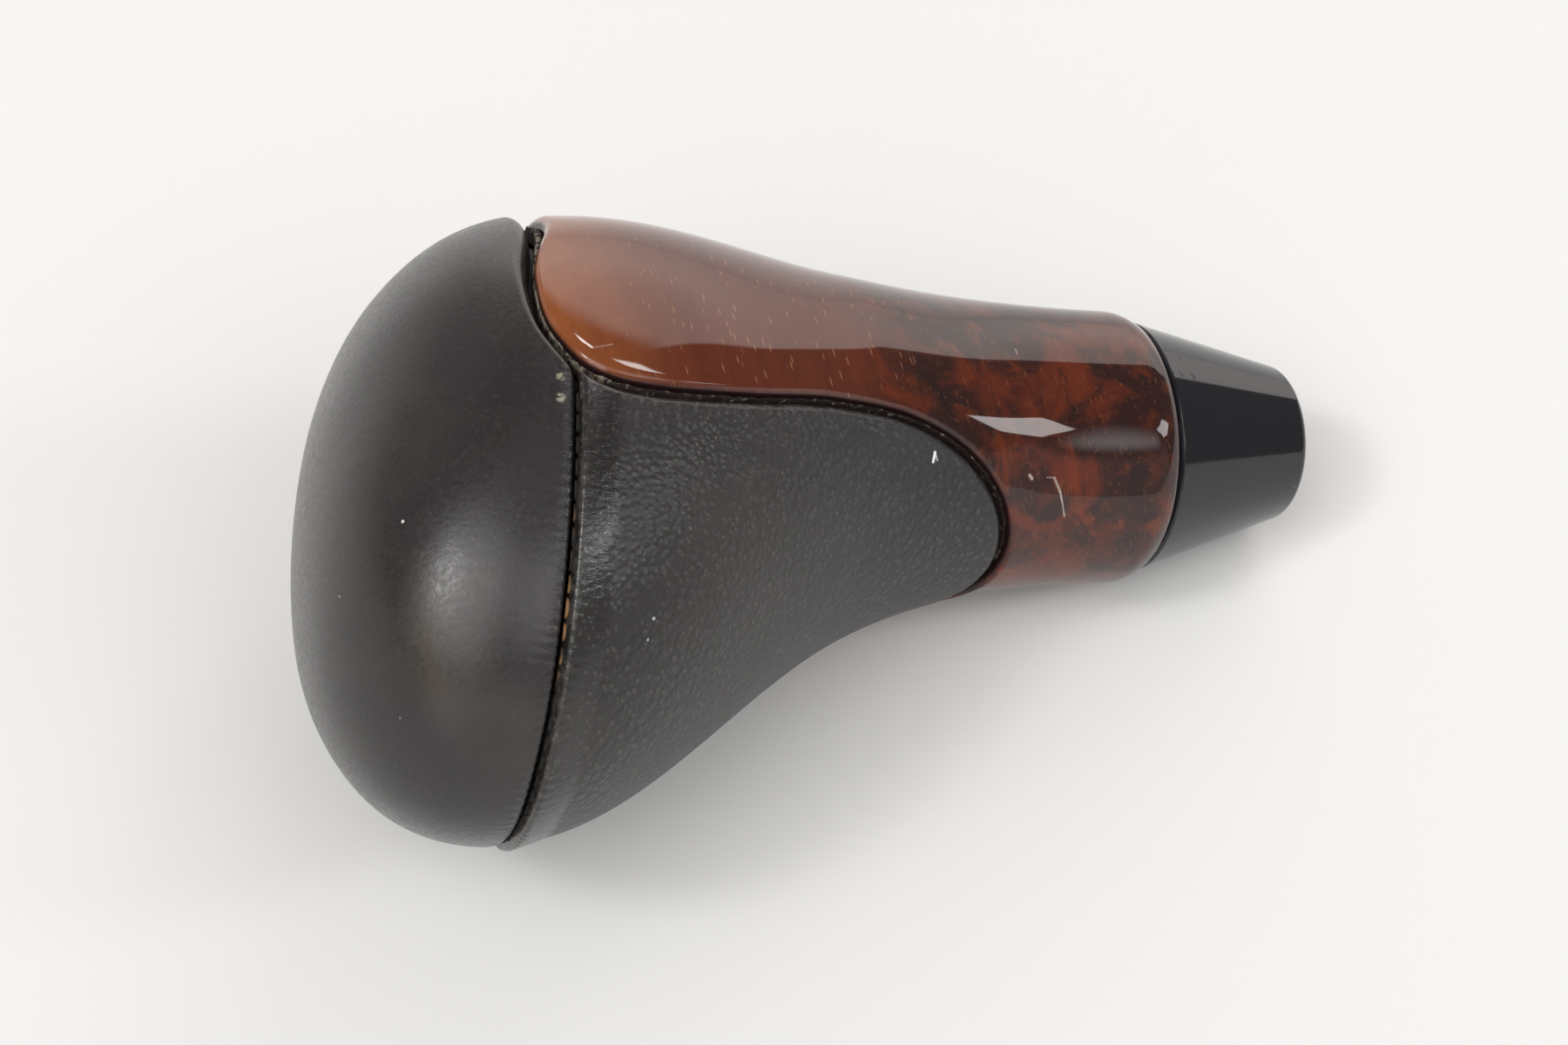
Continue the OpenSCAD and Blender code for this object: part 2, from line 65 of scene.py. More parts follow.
# Marks that the photograph shows: start, end, width and strength of each
CAP_MARKS = [
    ((-20.5, -16.2, 99.5), (-20.5, -16.2, 99.5), 0.32, 1.0),
    ((-26.0, -11.2, 101.6), (-28.9, -11.8, 99.9), 0.1, 0.12),
    ((-21.8, -8.0, 103.9), (-21.8, -8.0, 103.9), 0.25, 0.4),
    ((-33.4, -5.4, 100.4), (-33.4, -5.4, 100.4), 0.2, 0.4),
]
# Brownish spots of the cap, partly rubbed wear and partly a painted reflection of the pale table along its lower
# edge: the middle of each and its size
CAP_WEAR_AND_REFLECTION_SPOTS = [((-29.5, -12.9, 98.6), 2.6), ((-31.5, -11.4, 98.4), 3.0), ((-33.5, -9.5, 98.0), 3.0)]
BACK_MARKS = [
    ((-11.3, -12.7, 45.5), (-11.9, -12.1, 45.7), 0.34, 1.0),
    ((-11.3, -12.7, 45.5), (-11.7, -12.0, 45.2), 0.2, 0.6),
    ((-31.3, -14.8, 79.1), (-31.3, -14.8, 79.1), 0.35, 0.5),
    ((-32.5, -13.4, 79.6), (-32.5, -13.4, 79.6), 0.3, 0.4),
]
WOOD_MARKS = [
    ((-11.1, -8.8, 34.3), (-11.3, -8.5, 34.0), 0.35, 0.8),
    ((-11.1, -8.4, 32.3), (-11.1, -8.3, 31.5), 0.2, 0.4),
    ((-11.1, -8.3, 31.5), (-11.9, -7.1, 30.7), 0.3, 0.6),
    ((-11.9, -7.1, 30.7), (-12.9, -4.7, 29.8), 0.24, 0.8),
    ((0.0, -14.6, 34.0), (-0.6, -14.5, 34.0), 0.2, 0.5),
    ((-9.8, -26.2, 82.0), (-9.6, -26.3, 80.2), 0.18, 0.35),
]
WOOD_SPOTS = [(12.4, -20.2, 74.1), (11.3, -20.2, 68.8)]
# Points of a fold in the back leather, along which painted shade darkens the colour
PAINTED_CREASE_SHADE = [(-14.0, 7.3, 43.1), (-14.8, 4.7, 42.5), (-14.7, 3.6, 40.9), (-14.4, 3.5, 39.3), (-14.1, 3.4, 37.6),
          (-14.2, 2.4, 36.8)]
# Dust beside the seam: the middle of each lump and its size
CAP_DUST = [((-12.4, -25.4, 85.4), 0.55), ((-14.5, -25.0, 85.8), 0.6)]
BACK_DUST = [((-13.4, -25.4, 84.1), 0.45), ((-14.7, -25.2, 84.3), 0.35), ((-15.9, -24.9, 84.6), 0.35),
             ((-17.5, -24.4, 84.9), 0.35), ((-19.8, -23.7, 85.3), 0.3)]
# Unit directions of the wood's pores and across them
WOOD_PORES = ((-0.798, 0.557, -0.231), (-0.042, -0.433, -0.901), (-0.602, -0.709, 0.368))
SLEEVE_SCRATCHES = [((0.34, -12.5, 16.56), (-1.68, -12.11, 15.52), 0.26, 1.0),
                    ((0.98, -12.04, 14.98), (-1.68, -11.7, 14.0), 0.26, 1.0)]
SLEEVE_CHIPS = [((-8.07, -2.06, 1.04), (-8.07, -2.06, 1.04), 0.5, 0.9)]
DUST = (0.27, 0.25, 0.19)


# The outer surface: a point for every angle from the front and height, and a depth below it
def hermite(a, b, slope_a, slope_b, h, u):
    return ((2 * u**3 - 3 * u**2 + 1) * a + (u**3 - 2 * u**2 + u) * h * slope_a
            + (3 * u**2 - 2 * u**3) * b + (u**3 - u**2) * h * slope_b)


def outline(z, side, depth):
    crown = {"front": -CROWN_BACK, "back": CROWN_BACK, "side": 0.0}[side]
    h = np.array([COLLAR_H + COLLAR_ROUND, NECK_H, FLARE_H, HEAD[side][0]])
    w = np.array([COLLAR_D / 2, NECK[side], FLARE[side], HEAD[side][1]])
    slopes = np.array([0.6 * (w[1] - w[0]) / (h[1] - h[0]), (w[2] - w[0]) / (h[2] - h[0]),
                       (w[3] - w[1]) / (h[3] - h[1]), 0.0])
    bend = np.minimum(1, (h[0] - z) / COLLAR_ROUND)
    low = (COLLAR_D - (COLLAR_D - COLLAR_END_D) * bend**2) / 2 - depth
    i = np.clip(np.searchsorted(h, z, side="right") - 1, 0, 2)
    u = (z - h[i]) / (h[i + 1] - h[i])
    middle = hermite(w[i], w[i + 1], slopes[i], slopes[i + 1], h[i + 1] - h[i], u) - depth
    share = np.clip((z - h[3]) / (TOTAL - depth - h[3]), 0, 1)
    top = crown + (w[3] - depth - crown) * np.maximum(0, 1 - share ** DOME[side]) ** (1 / DOME[side])
    return np.where(z <= h[0], low, np.where(z <= h[3], middle, top))


def skin(angle, z, depth=0.0):
    angle, z, depth = np.broadcast_arrays(np.asarray(angle, float), np.asarray(z, float), depth)
    squeezed = SQUEEZE_H + (z - SQUEEZE_H) * (TOTAL - depth - SQUEEZE_H) / (TOTAL - SQUEEZE_H)
    q = np.where(z <= SQUEEZE_H, z, squeezed)
    front, back, side = outline(q, "front", depth), outline(q, "back", depth), outline(q, "side", depth)
    a = np.radians(angle)
    x = (front - back) / 2 + (front + back) / 2 * np.cos(a)
    return np.stack([x, -side * np.sin(a), q], axis=-1)


def seam_height(angle):
    z = np.full(np.shape(angle), SEAM_H)
    for _ in range(4):
        z = SEAM_H - math.tan(math.radians(SEAM_TILT)) * skin(angle, z)[..., 0]
    return z


# The wood's edge as a smooth line through its points, mirrored at both ends
def glide(points, steps):
    first = (-points[1][0], points[1][1])
    final = (360 - points[-2][0], points[-2][1])
    p = np.array([first, *points, final], float)
    t = np.arange(steps)[:, None] / steps
    rows = []
    for a, b, c, d in zip(p[:-3], p[1:-2], p[2:-1], p[3:]):
        rows.append(0.5 * (2 * b + (c - a) * t + (2 * a - 5 * b + 4 * c - d) * t**2
                           + (3 * b - a - 3 * c + d) * t**3))
    return np.concatenate([*rows, p[-2:-1]])


def run_length(points):
    steps = np.linalg.norm(np.diff(points, axis=0), axis=1)
    return np.concatenate([[0], np.cumsum(steps)])


def even(line, count):
    """The same line of angles and heights with evenly spaced points."""
    way = run_length(skin(line[:, 0], line[:, 1]))
    at = np.linspace(0, way[-1], count)
    return np.stack([np.interp(at, way, line[:, 0]), np.interp(at, way, line[:, 1])], axis=1)


def wood_half_edge(count):
    line = glide(EDGE_PATH, 24)
    top = seam_height(line[:, 0]) + WOOD_RISE
    line[:, 1] = TONGUE_TIP_H + (top - TONGUE_TIP_H) * line[:, 1]
    line[:, 1] -= FRONT_DIP * front_share(line[:, 0], 47, 73)
    return even(line, count)


def beside(line, width):
    """The line moved sideways over the surface, away from the wood."""
    near, far = skin(line[:, 0], line[:, 1]), skin(line[:, 0] + 180, line[:, 1])
    radius = np.maximum(np.hypot(near[:, 0] - far[:, 0], 2 * near[:, 1]) / 2, 5)
    way = np.gradient(line, axis=0)
    way[:, 0] *= np.pi / 180 * radius
    way /= np.linalg.norm(way, axis=1)[:, None]
    moved = line + np.asarray(width)[..., None] * np.stack([-way[:, 1] * 180 / np.pi / radius, way[:, 0]], axis=1)
    moved[0, 0], moved[-1, 0] = line[0, 0], line[-1, 0]
    return moved


def round_trip(half):
    """A half line from the front to the back, then its mirror back to the front."""
    other = half[-2:0:-1] * [-1, 1] + [360, 0]
    return np.concatenate([half, other])


def soft_step(value, low, high):
    t = np.clip((value - low) / (high - low), 0, 1)
    return t * t * (3 - 2 * t)


def front_share(angle, low, high):
    """1 at the front of the head up to the low angle, 0 from the high angle on, on both sides."""
    return 1 - soft_step(np.minimum(angle, 360 - angle), low, high)


def ripple(points, size, seed):
    """Smooth irregular values from about -1 to 1, with bumps of about that size in millimetres."""
    waves = 24
    random = np.random.default_rng(seed)
    way = random.normal(size=(waves, 3))
    way /= np.linalg.norm(way, axis=1)[:, None]
    pitch = 2 * np.pi / (size * 2 * random.uniform(0.7, 1.5, waves))
    phase = random.uniform(0, 2 * np.pi, waves)
    total = np.zeros(points.shape[:-1])
    for k in range(waves):
        total += np.sin(points @ way[k] * pitch[k] + phase[k])
    return total * math.sqrt(2 / waves) / 1.6


def nearest(points, line):
    """Distance to the nearest point of a line, and how far along the line that point is."""
    flat = points.reshape(-1, 3)
    way = run_length(line)
    gap, along = np.empty(len(flat)), np.empty(len(flat))
    at_once = 4000
    for start in range(0, len(flat), at_once):
        part = slice(start, start + at_once)
        d = ((flat[part, None, :] - line[None, :, :]) ** 2).sum(axis=2)
        best = d.argmin(axis=1)
        gap[part] = np.sqrt(d[np.arange(len(d)), best])
        along[part] = way[best]
    return gap.reshape(points.shape[:-1]), along.reshape(points.shape[:-1])


def grid_normals(grid):
    """Unit normals of a grid of rows and columns, pointing away from the knob's middle line."""
    columns = np.roll(grid, -1, axis=1) - np.roll(grid, 1, axis=1)
    n = np.cross(np.gradient(grid, axis=0), columns)
    n /= np.maximum(np.linalg.norm(n, axis=-1), 1e-12)[..., None]
    middle = np.zeros(grid.shape) + [HEAD_MIDDLE_X, 0, 0]
    middle[..., 2] = np.minimum(grid[..., 2], 80.0)
    facing = np.sign(((grid - middle) * n).sum(axis=-1))
    return n * np.where(facing == 0, 1, facing)[..., None]


def rolled(distance, width, depth):
    """Depth of a rolled edge below the surface at a distance from the edge."""
    share = np.clip(1 - distance / width, 0, 1)
    return depth * (1 - np.sqrt(np.maximum(0, 1 - share**2)))


# Meshes
def to_metres(points):
    return (np.asarray(points, float) - [0, 0, DATUM]) * MM


def loop_faces(rows, columns, wrap_rows):
    """Four-cornered faces between rings of points, closed round each ring and, if asked, end to end."""
    row = np.arange(rows if wrap_rows else rows - 1)[:, None]
    i, n = row * columns, (row + 1) % rows * columns
    j = np.arange(columns)[None, :]
    m = (j + 1) % columns
    return np.stack([i + j, n + j, n + m, i + m], axis=-1).reshape(-1, 4).tolist()


def make_piece(name, points, faces, finish, values):
    """A piece with a smooth closed mesh, and values stored at its points for the finish to read."""
    mesh = bpy.data.meshes.new(name)
    mesh.from_pydata(to_metres(points).tolist(), [], faces)
    mesh.update()
    if signed_volume(mesh) < 0:
        mesh.flip_normals()
    mesh.polygons.foreach_set("use_smooth", [True] * len(mesh.polygons))
    for key, value in values.items():
        layer = mesh.attributes.new(key, "FLOAT", "POINT")
        layer.data.foreach_set("value", np.asarray(value, np.float32).ravel())
    mesh.materials.append(finish)
    piece = bpy.data.objects.new(name, mesh)
    bpy.context.scene.collection.objects.link(piece)
    return piece


def signed_volume(mesh):
    mesh.calc_loop_triangles()
    corners = np.empty(len(mesh.loop_triangles) * 3, np.int32)
    mesh.loop_triangles.foreach_get("vertices", corners)
    co = np.empty(len(mesh.vertices) * 3)
    mesh.vertices.foreach_get("co", co)
    a, b, c = np.moveaxis(co.reshape(-1, 3)[corners.reshape(-1, 3)], 1, 0)
    return float((a * np.cross(b, c)).sum() / 6)


# Shaders
class Value:
    """An output of a node, so that a material can be written as a formula."""

    def __init__(self, graph, socket):
        self.graph, self.socket = graph, socket

    def __add__(self, other):
        return self.graph.sums("ADD", self, other)

    def __radd__(self, other):
        return self.graph.sums("ADD", other, self)

    def __sub__(self, other):
        return self.graph.sums("SUBTRACT", self, other)

    def __rsub__(self, other):
        return self.graph.sums("SUBTRACT", other, self)

    def __mul__(self, other):
        return self.graph.sums("MULTIPLY", self, other)

    def least(self, other):
        return self.graph.sums("MINIMUM", self, other)

    def most(self, other):
        return self.graph.sums("MAXIMUM", self, other)


class Graph:
    """Nodes of one material or of the world, made by what they do."""

    def __init__(self, tree):
        self.tree = tree
        tree.nodes.clear()

    def node(self, kind, settings=None, inputs=None, output=0):
        made = self.tree.nodes.new(kind)
        for key, value in (settings or {}).items():
            setattr(made, key, value)
        for key, value in (inputs or {}).items():
            if isinstance(value, Value):
                self.tree.links.new(value.socket, made.inputs[key])
            elif value is not None:
                made.inputs[key].default_value = value
        return Value(self, made.outputs[output]) if len(made.outputs) else made

    def sums(self, operation, *terms):
        return self.node("ShaderNodeMath", {"operation": operation}, dict(enumerate(terms)))

    def vector(self, operation, *terms, output=0):
        return self.node("ShaderNodeVectorMath", {"operation": operation}, dict(enumerate(terms)), output)

    def step(self, value, low, high, to_low=0.0, to_high=1.0):
        return self.node("ShaderNodeMapRange", {"interpolation_type": "SMOOTHSTEP"},
                         {0: value, 1: low, 2: high, 3: to_low, 4: to_high})

    def place(self):
        return self.node("ShaderNodeTexCoord", output="Object")

    def stored(self, name):
        return self.node("ShaderNodeAttribute", {"attribute_name": name}, output="Fac")

    def stretched(self, x, y, z):
        return self.vector("MULTIPLY", self.place(), (x, y, z))

    def along_axis(self, x, y, z):
        """How far along an axis a point lies, in millimetres from the mount."""
        return self.vector("DOT_PRODUCT", self.place(), (x / MM, y / MM, z / MM), output="Value")

    def height(self):
        """Height from the sleeve's open end in millimetres."""
        return self.along_axis(0.0, 0.0, 1.0) + DATUM

    def away_from(self, spot):
        return self.vector("DISTANCE", self.place(), tuple(to_metres(spot)), output="Value")

    def noise(self, scale, detail=2.0, rough=0.5, bend=0.0, at=None):
        return self.node("ShaderNodeTexNoise", {}, {"Vector": at or self.place(), "Scale": scale, "Detail": detail,
                                                    "Roughness": rough, "Distortion": bend})

    def cells(self, scale, at, output="Distance"):
        return self.node("ShaderNodeTexVoronoi", {"feature": "F1"}, {"Vector": at, "Scale": scale}, output)

    def blend(self, share, a, b):
        return self.node("ShaderNodeMix", {"data_type": "RGBA", "clamp_factor": True},
                         {0: share, 6: colour(a), 7: colour(b)}, 2)

    def bump(self, height, distance, strength=1.0, normal=None):
        return self.node("ShaderNodeBump", {}, {"Height": height, "Distance": distance, "Strength": strength,
                                                "Normal": normal}, "Normal")

    def line_mark(self, start, end, width):
        """1 within half the width of a straight line on the surface, 0 away from it."""
        a = Vector(to_metres(start))
        run = Vector(to_metres(end)) - a
        from_start = self.vector("SUBTRACT", self.place(), tuple(a))
        along = self.vector("DOT_PRODUCT", from_start, tuple(run), output="Value")
        share = (along * (1 / max(run.length_squared, 1e-12))).most(0.0).least(1.0)
        foot = self.node("ShaderNodeVectorMath", {"operation": "SCALE"}, {0: tuple(run), "Scale": share})
        gap = self.vector("DISTANCE", from_start, foot, output="Value")
        return self.step(gap, width * MM * 0.3, width * MM * 0.6, 1.0, 0.0)

    def marked(self, base, marks, paint):
        """The base colour with each mark of a list painted over it."""
        for start, end, width, share in marks:
            base = self.blend(self.line_mark(start, end, width) * share, base, paint)
        return base

    def turned_grain(self):
        """Object coordinates turned and drawn out, so that the grain runs in short slanting strokes."""
        return self.node("ShaderNodeMapping", {}, {"Vector": self.place(), "Rotation": (0.5, 0.35, 0.2),
                                                   "Scale": (1.0, 0.62, 0.85)})

    def along_pores(self, along, side, third):
        """Object coordinates along the wood's pores and across them, each with its own scale."""
        parts = [self.vector("DOT_PRODUCT", self.place(), way, output="Value") * scale
                 for way, scale in zip(WOOD_PORES, (along, side, third))]
        return self.node("ShaderNodeCombineXYZ", {}, dict(enumerate(parts)))

    def seam_wrinkles(self, reach):
        """Fine wrinkles that run away from the seam, and where they are."""
        gap, way = self.stored("from_seam"), self.stored("along_seam")
        at = self.node("ShaderNodeCombineXYZ", {}, {0: gap * 0.9 + way * 0.35, 1: way * 2.3, 2: 0.0})
        wrinkles = self.noise(1.0, 3.0, 0.55, 0.5, at)
        return wrinkles, self.step(gap, reach * 1.3, reach * 0.7) * self.step(gap, -0.1, 0.25)

    def surface(self, **inputs):
        named = {key.replace("_", " "): value for key, value in inputs.items()}
        named = {key: colour(value) if key == "Base Color" else value for key, value in named.items()}
        shader = self.node("ShaderNodeBsdfPrincipled", {}, named)
        self.node("ShaderNodeOutputMaterial", {}, {"Surface": shader})
        return shader


def colour(value):
    return (*value, 1.0) if isinstance(value, tuple) and len(value) == 3 else value


def material(name):
    made = bpy.data.materials.new(name)
    made.use_nodes = True
    return made, Graph(made.node_tree)


def plain(name, base, **inputs):
    made, g = material(name)
    g.surface(Base_Color=base, **inputs)
    return made


def seam_dust(g, spots):
    """Where grey-tan dust lies in lumps round some points."""
    share = 0.0
    for spot, size in spots:
        share = g.step(g.away_from(spot), size * MM, size * MM * 0.45).most(share)
    return share * g.step(g.noise(2600.0, 3.0, 0.6), 0.42, 0.56)


def smooth_leather():
    made, g = material("smooth_leather")
    broad = g.noise(60.0, 4.0, 0.6)
    grain = g.noise(2400.0, 4.0, 0.65, 0.3, g.turned_grain())
    worn = g.step(broad, 0.45, 0.7)
    base = g.blend(worn, (0.0200, 0.0185, 0.0183), (0.0300, 0.0270, 0.0245))
    base = g.blend(g.step(grain, 0.58, 0.74) * 0.4, base, (0.056, 0.050, 0.045))
    # Brownish spots painted on the cap: partly rubbed wear, partly a painted reflection of the table at its lower
    # edge
    for spot, size in CAP_WEAR_AND_REFLECTION_SPOTS:
        wear_and_reflection = g.step(g.away_from(spot), size * MM, 0.0) * g.step(broad, 0.4, 0.6)
        base = g.blend(wear_and_reflection * 0.3, base, (0.075, 0.052, 0.030))
    wrinkles, near_seam = g.seam_wrinkles(1.3)
    dusty = seam_dust(g, CAP_DUST)
    base = g.blend(dusty, base, DUST)
    base = g.marked(base, CAP_MARKS, (0.72, 0.72, 0.70))
    rough = 0.28 + (grain - 0.5) * 0.44 + worn * 0.03 + dusty * 0.4
    normal = g.bump(grain, 0.00006, 0.4)
    normal = g.bump(wrinkles * near_seam, 0.00016, 0.6, normal)
    g.surface(Base_Color=base, Roughness=rough, Specular_IOR_Level=0.5, Normal=normal)
    return made


def grained_leather():
    made, g = material("grained_leather")
    pebbles = g.cells(1750.0, g.turned_grain())
    grain = g.noise(2600.0, 2.0, 0.6)
    broad = g.noise(60.0, 3.0, 0.55)
    worn = g.step(broad, 0.4, 0.7)
    # The pebbles' tops are painted lighter: partly wear, partly painted glints of light on them
    pebble_tops_wear_and_glints = g.step(pebbles + (grain - 0.5) * 0.3, 0.36, 0.10)
    bluish = g.step(g.height(), 66.0, 50.0)
    base = g.blend(worn, (0.0130, 0.0120, 0.0115), (0.0205, 0.0185, 0.0172))
    base = g.blend(bluish * 0.6, base, (0.0120, 0.0135, 0.0160))
    base = g.blend(pebble_tops_wear_and_glints * 0.7, base, (0.060, 0.057, 0.052))
    wrinkles, near_seam = g.seam_wrinkles(3.6)
    dusty = seam_dust(g, BACK_DUST)
    base = g.blend(dusty, base, DUST)
    base = g.marked(base, BACK_MARKS, (0.80, 0.83, 0.86))
    # Painted shade along the fold of the back leather
    for start, end in zip(PAINTED_CREASE_SHADE[:-1], PAINTED_CREASE_SHADE[1:]):
        base = g.blend(g.line_mark(start, end, 0.28) * 0.8, base, (0.006, 0.006, 0.006))
    frayed = g.step(g.stored("from_edge"), 0.75, 0.1) * g.step(g.noise(700.0, 3.0), 0.42, 0.62)
    base = g.blend(frayed * 0.35, base, (0.10, 0.09, 0.078))
    rough = 0.42 + (grain - 0.5) * 0.2 + worn * 0.05 - near_seam * 0.19 - pebble_tops_wear_and_glints * 0.08 + dusty * 0.4
    normal = g.bump((1.0 - pebbles) * (1.0 - near_seam * 0.93), 0.00019, 0.6)
    normal = g.bump(wrinkles * near_seam, 0.00012, 0.5, normal)
    g.surface(Base_Color=base, Roughness=rough, Specular_IOR_Level=0.58, Normal=normal)
    return made


def lacquered_wood():
    made, g = material("walnut")
    height = g.height()
    wander = (g.noise(70.0, 3.0, 0.6) - 0.5) * 22.0
    lower = g.step(g.along_axis(0.0, 1.0, 0.0), -18.0, -26.0) * 9.0
    deeper = g.step(height + wander * 0.5 - lower, 80.0, 62.0)
    burl = g.step(height + wander, 58.0, 42.0)
    figure = g.noise(210.0, 4.0, 0.6, 1.0, g.stretched(1.0, 1.0, 0.85))
    clouds = g.noise(75.0, 4.0, 0.6, 1.2)
    streaks = g.step(g.noise(260.0, 4.0, 0.6, 0.2, g.stretched(0.35, 0.35, 2.2)), 0.3, 0.7)
    orange = g.blend(streaks, (0.250, 0.072, 0.0215), (0.280, 0.086, 0.026))
    brown = g.blend(streaks, (0.094, 0.0200, 0.0092), (0.110, 0.0250, 0.0112))
    patches = g.step(figure * 0.45 + clouds * 0.55, 0.44, 0.59)
    red = g.blend(patches, (0.026, 0.0095, 0.0082), (0.104, 0.0200, 0.0082))
    flames = g.noise(1.0, 4.0, 0.6, 0.5, g.along_pores(80.0, 230.0, 230.0))
    red = g.blend(g.step(flames, 0.55, 0.70) * 0.75, red, (0.016, 0.0085, 0.0080))
    red = g.blend(g.step(flames, 0.44, 0.32) * 0.55, red, (0.170, 0.031, 0.0090))
    base = g.blend(deeper, orange, brown)
    base = g.blend(burl, base, red)
    pores = g.along_pores(430.0, 2900.0, 430.0)
    dash = g.step(g.cells(1.0, pores), 0.27, 0.12)
    picked = g.step(g.cells(1.0, pores, "Color"), 0.44, 0.54)
    zone = g.step(height, 84.0, 68.0) * g.step(height, 40.0, 54.0)
    base = g.blend(dash * picked * (0.25 + zone * 0.75) * 0.42, base, (0.44, 0.215, 0.10))
    fleck = g.step(g.noise(1900.0, 2.0, 0.5, 0.0, g.stretched(1.0, 1.0, 2.5)), 0.60, 0.72)
    base = g.blend(fleck * 0.2, base, (0.030, 0.010, 0.007))
    speck = g.step(g.noise(2300.0, 2.0, 0.5), 0.64, 0.74)
    base = g.blend(speck * 0.35 * burl, base, (0.20, 0.075, 0.035))
    wall = g.step(g.stored("down") + (g.noise(900.0, 3.0) - 0.5) * 0.2, 0.12, 0.5)
    base = g.blend(wall, base, (0.020, 0.0095, 0.0095))
    base = g.marked(base, WOOD_MARKS, (0.42, 0.36, 0.31))
    for spot in WOOD_SPOTS:
        base = g.blend(g.line_mark(spot, spot, 0.5) * 0.7, base, (0.03, 0.018, 0.016))
    wave = g.noise(110.0, 2.0, 0.5)
    g.surface(Base_Color=base, Roughness=0.6, Specular_IOR_Level=0.0, Coat_Weight=1.0 - wall * 0.55,
              Coat_Roughness=0.03, Coat_IOR=1.5, Normal=g.bump(wave, 0.00003, 0.25))
    return made


def old_glue():
    made, g = material("dusty_glue")
    grain = g.noise(1600.0, 4.0, 0.7)
    spots = g.noise(1500.0, 4.0, 0.6)
    at_head = g.step(g.height(), 76.0, 84.0)
    pale = g.step(spots - (1.0 - at_head) * 0.13, 0.42, 0.58) * g.stored("on_ridge")
    base = g.blend(pale, (0.028, 0.018, 0.016), (0.30, 0.265, 0.205))
    g.surface(Base_Color=base, Roughness=0.85, Specular_IOR_Level=0.2, Normal=g.bump(grain, 0.0002, 0.8))
    return made


def polished_black():
    made, g = material("black_gloss")
    smear = g.noise(220.0, 3.0, 0.6)
    rough = 0.045 + smear * 0.05
    for start, end, width, share in SLEEVE_SCRATCHES:
        rough = rough + g.line_mark(start, end, width) * 0.7 * share
    base = g.marked((0.0125, 0.0125, 0.0155), SLEEVE_CHIPS, (0.55, 0.53, 0.48))
    g.surface(Base_Color=base, Roughness=rough, Specular_IOR_Level=0.5)
    return made


def thread_finish():
    made, g = material("seam_thread")
    across = g.along_axis(0.0, 1.0, 0.0)
    faded = g.step(g.noise(170.0, 2.0), 0.5, 0.6) * g.step(across, -11.5, -13.0) * g.step(across, -21.5, -20.0)
    fuzz = g.noise(5200.0, 2.0)
    base = g.blend(faded, (0.022, 0.020, 0.018), (0.24, 0.135, 0.06))
    g.surface(Base_Color=base, Roughness=0.8, Specular_IOR_Level=0.2, Normal=g.bump(fuzz, 0.00008, 0.7))
    return made


leather_cap = smooth_leather()
leather_back = grained_leather()
walnut = lacquered_wood()
glue = old_glue()
gloss_black = polished_black()
for node_name, finish in {
    "lock_sleeve": gloss_black,
    "head_core": plain("core_plastic", (0.02, 0.02, 0.021), Roughness=0.6),
    "cap_padding": plain("foam", (0.3, 0.28, 0.23), Roughness=0.95),
    "back_padding": plain("foam_back", (0.3, 0.28, 0.23), Roughness=0.95),
    "lever_insert": plain("insert_steel", (0.52, 0.52, 0.53), Metallic=1.0, Roughness=0.32),
    "snap_ring": plain("spring_steel", (0.45, 0.45, 0.46), Metallic=1.0, Roughness=0.25),
    "wave_washer": plain("washer_steel", (0.45, 0.45, 0.46), Metallic=1.0, Roughness=0.25),
}.items():
    nodes[node_name].data.materials.clear()
    nodes[node_name].data.materials.append(finish)

half_edge = wood_half_edge(1201)


def edge_line(width, count):
    """The wood's edge moved by a width, closed all round, as angles and heights."""
    return round_trip(even(beside(half_edge, np.broadcast_to(width, len(half_edge))), count))


# Wood: collar and tongue in one piece, its outer face, rounded edge, wall and inside
def make_wood():
    half = 330
    columns = 2 * half - 2
    end_rows = [(0.0, 2.2), (0.0, 0.9), (0.0, 0.35), (0.03, 0.16), (0.1, 0.05), (0.22, 0.0)]
    section = [(-0.62, 0.0), (-0.5, 0.012), (-0.41, 0.05), (-0.3, 0.14), (-0.15, 0.29), (0.0, 0.46), (0.07, 0.66),
               (0.1, 1.15), (0.12, 1.9), (0.12, WOOD_T)]
    front_section = [(-1.75, 0.0), (-1.45, 0.05), (-1.2, 0.16), (-1.0, 0.32), (-0.8, 0.54), (-0.6, 0.82),
                     (-0.4, 1.16), (-0.2, 1.6), (0.0, 2.1), (0.12, WOOD_T)]
    at_front = front_share(half_edge[:, 0], *CORNER_TURN)
    start_angles = np.arange(columns) * 360 / columns
    face_edge = edge_line(section[0][0] + (front_section[0][0] - section[0][0]) * at_front, half)
    grids = [skin(start_angles, COLLAR_H + lift, depth) for lift, depth in end_rows]
    down = [depth for lift, depth in end_rows]
    low = COLLAR_H + end_rows[-1][0]
    for t in np.linspace(0, 1, 72)[1:]:
        angle = start_angles + (face_edge[:, 0] - start_angles) * t**1.3
        grids.append(skin(angle, low + (face_edge[:, 1] - low) * t))
        down.append(0.0)
    for (width, depth), (front_width, front_depth) in zip(section[1:], front_section[1:]):
        line = edge_line(width + (front_width - width) * at_front, half)
        share = front_share(line[:, 0], *CORNER_TURN)
        grids.append(skin(line[:, 0], line[:, 1], depth + (front_depth - depth) * share))
        down.append(depth)
    foot = edge_line(section[-1][0], half)
    for t in (0.85, 0.6, 0.35, 0.12, 0.0):
        angle = start_angles + (foot[:, 0] - start_angles) * t**1.3
        grids.append(skin(angle, COLLAR_H + (foot[:, 1] - COLLAR_H) * t, WOOD_T))
        down.append(WOOD_T)
    grid = np.array(grids)
    return make_piece("walnut_trim", grid.reshape(-1, 3), loop_faces(len(grid), columns, True), walnut,
                      {"down": np.repeat(down, columns)})


wood = make_wood()
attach(wood, "root")
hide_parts("wood_trim")


# Leather: rings that follow a closed edge and close in on one point
NEAR_STEPS = np.concatenate([np.arange(0, 1.2, 0.14), np.arange(1.2, 5.4, 0.26)])
LAST_RING = 0.985
BACK_POLE_H = 67.0


